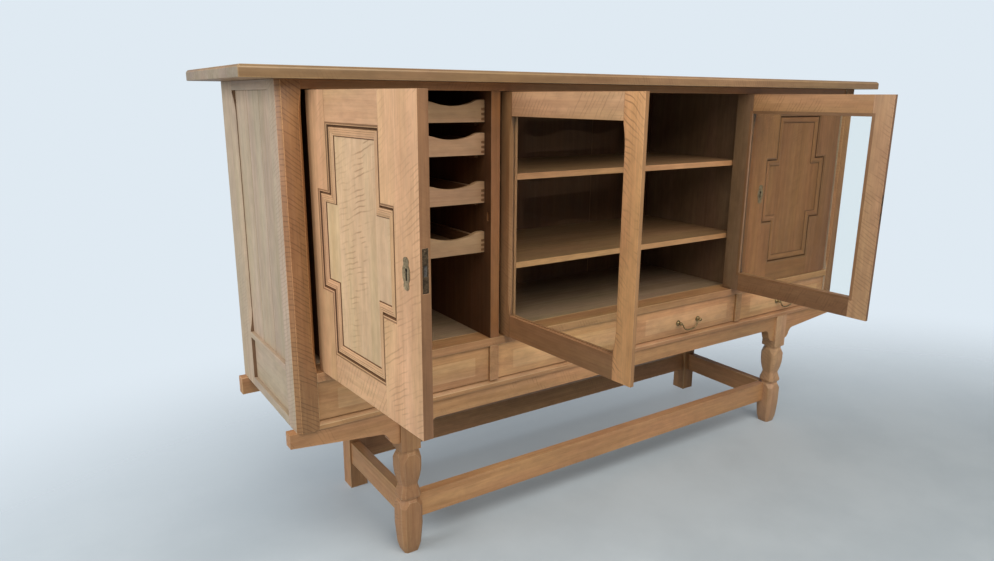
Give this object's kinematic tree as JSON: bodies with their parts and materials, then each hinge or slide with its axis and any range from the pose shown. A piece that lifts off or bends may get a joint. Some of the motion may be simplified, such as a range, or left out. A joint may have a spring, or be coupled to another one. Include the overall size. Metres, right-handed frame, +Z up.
{
  "type": "tall buffet cabinet",
  "caption": "Long oak buffet on a stretchered stand, with panel doors beside glass doors, trays behind a panel door, shelves, and a row of drawers with bail pulls below.",
  "frame": {"origin": "on the floor, under the middle of the carcass front; with the doors open as stored it is the middle of the bottom of the bounding box to within a few millimetres", "axes": "+X to the viewer's right along the length, -Y is the front where the doors open, +Z up"},
  "size_m": [2.05, 0.8319, 1.134],
  "materials": {
    "oak_frame": "satin oiled light oak",
    "oak_panel": "satin paler oak with flecks",
    "oak_inside": "matt oak",
    "oak_top": "satin oak",
    "brass": "aged brass",
    "lock_steel": "dark worn steel",
    "glass": "clear"
  },
  "bodies": {
    "carcass": {"back_boards": "oak_inside", "base_cross_rails": "oak_frame", "bottom_board": "oak_inside", "bottom_rail": "oak_frame", "dividers": "oak_inside", "drawer_dividers": "oak_frame", "drawer_rail": "oak_frame", "floor_board": "oak_inside", "frieze_rail": "oak_frame", "front_base_rail": "oak_frame", "front_legs": "oak_frame", "left_post": "oak_frame", "rear_base_rail": "oak_frame", "rear_legs": "oak_frame", "right_post": "oak_frame", "shelf_pins": "brass", "shelves": "oak_inside", "side_frames": "oak_frame", "side_panels": "oak_panel", "stretchers": "oak_frame", "sub_top": "oak_inside", "top_board": "oak_top", "tray_carrier": "oak_inside", "tray_runners": "oak_inside"},
    "left_door": {"left_door_frame": "oak_frame", "left_door_moulding": "oak_frame", "left_door_panel": "oak_panel", "left_door_hardware": "lock_steel"},
    "left_glass": {"left_glass_frame": "oak_frame", "left_glass_pane": "glass", "left_glass_beads": "oak_frame", "left_glass_hardware": "lock_steel"},
    "right_glass": {"right_glass_frame": "oak_frame", "right_glass_pane": "glass", "right_glass_beads": "oak_frame", "right_glass_hardware": "lock_steel"},
    "right_door": {"right_door_frame": "oak_frame", "right_door_moulding": "oak_frame", "right_door_panel": "oak_panel", "right_door_hardware": "lock_steel"},
    "left_door_bolt": {"left_door_bolt": "lock_steel"},
    "left_glass_bolt": {"left_glass_bolt": "lock_steel"},
    "right_door_bolt": {"right_door_bolt": "lock_steel"},
    "drawer_1": {"drawer_1": "oak_frame", "drawer_1_posts": "brass"},
    "drawer_1_bail": {"drawer_1_bail": "brass"},
    "drawer_2": {"drawer_2": "oak_frame", "drawer_2_posts": "brass"},
    "drawer_2_bail": {"drawer_2_bail": "brass"},
    "drawer_3": {"drawer_3": "oak_frame", "drawer_3_posts": "brass"},
    "drawer_3_bail": {"drawer_3_bail": "brass"},
    "drawer_4": {"drawer_4": "oak_frame", "drawer_4_posts": "brass"},
    "drawer_4_bail": {"drawer_4_bail": "brass"},
    "tray_1": {"tray_1": "oak_frame"},
    "tray_2": {"tray_2": "oak_frame"},
    "tray_3": {"tray_3": "oak_frame"},
    "tray_4": {"tray_4": "oak_frame"}
  },
  "joints": [
    {"name": "left_door_hinge", "type": "hinge", "parent": "carcass", "child": "left_door", "pos_m": [-0.88, 0.011, 0.8015], "axis": [0, 0, -1], "range_deg": [-86, 19]},
    {"name": "left_glass_hinge", "type": "hinge", "parent": "carcass", "child": "left_glass", "pos_m": [-0.42105, 0.011, 0.8015], "axis": [0, 0, -1], "range_deg": [-86, 10]},
    {"name": "right_glass_hinge", "type": "hinge", "parent": "carcass", "child": "right_glass", "pos_m": [0.42105, 0.011, 0.8015], "axis": [0, 0, 1], "range_deg": [-94, 11]},
    {"name": "right_door_hinge", "type": "hinge", "parent": "carcass", "child": "right_door", "pos_m": [0.88, 0.011, 0.8015], "axis": [0, 0, 1], "range_deg": [0, 105]},
    {"name": "left_door_bolt_slide", "type": "slide", "parent": "left_door", "child": "left_door_bolt", "axis": [0.0698, -0.9976, 0], "range_m": [0, 0.008]},
    {"name": "left_glass_bolt_slide", "type": "slide", "parent": "left_glass", "child": "left_glass_bolt", "axis": [0.0698, -0.9976, 0], "range_m": [0, 0.008]},
    {"name": "right_door_bolt_slide", "type": "slide", "parent": "right_door", "child": "right_door_bolt", "axis": [-1, 0, 0], "range_m": [0, 0.008]},
    {"name": "drawer_1_slide", "type": "slide", "parent": "carcass", "child": "drawer_1", "axis": [0, -1, 0], "range_m": [0, 0.26]},
    {"name": "drawer_1_bail_hinge", "type": "hinge", "parent": "drawer_1", "child": "drawer_1_bail", "pos_m": [-0.68453, -0.011, 0.44], "axis": [-1, 0, 0], "range_deg": [0, 85]},
    {"name": "drawer_2_slide", "type": "slide", "parent": "carcass", "child": "drawer_2", "axis": [0, -1, 0], "range_m": [0, 0.26]},
    {"name": "drawer_2_bail_hinge", "type": "hinge", "parent": "drawer_2", "child": "drawer_2_bail", "pos_m": [-0.22753, -0.011, 0.44], "axis": [-1, 0, 0], "range_deg": [0, 85]},
    {"name": "drawer_3_slide", "type": "slide", "parent": "carcass", "child": "drawer_3", "axis": [0, -1, 0], "range_m": [0, 0.26]},
    {"name": "drawer_3_bail_hinge", "type": "hinge", "parent": "drawer_3", "child": "drawer_3_bail", "pos_m": [0.22753, -0.011, 0.44], "axis": [-1, 0, 0], "range_deg": [0, 85]},
    {"name": "drawer_4_slide", "type": "slide", "parent": "carcass", "child": "drawer_4", "axis": [0, -1, 0], "range_m": [0, 0.26]},
    {"name": "drawer_4_bail_hinge", "type": "hinge", "parent": "drawer_4", "child": "drawer_4_bail", "pos_m": [0.68453, -0.011, 0.44], "axis": [-1, 0, 0], "range_deg": [0, 85]},
    {"name": "tray_1_slide", "type": "slide", "parent": "carcass", "child": "tray_1", "axis": [0, -1, 0], "range_m": [0, 0.2]},
    {"name": "tray_2_slide", "type": "slide", "parent": "carcass", "child": "tray_2", "axis": [0, -1, 0], "range_m": [0, 0.2]},
    {"name": "tray_3_slide", "type": "slide", "parent": "carcass", "child": "tray_3", "axis": [0, -1, 0], "range_m": [0, 0.2]},
    {"name": "tray_4_slide", "type": "slide", "parent": "carcass", "child": "tray_4", "axis": [0, -1, 0], "range_m": [0, 0.2]}
  ]
}
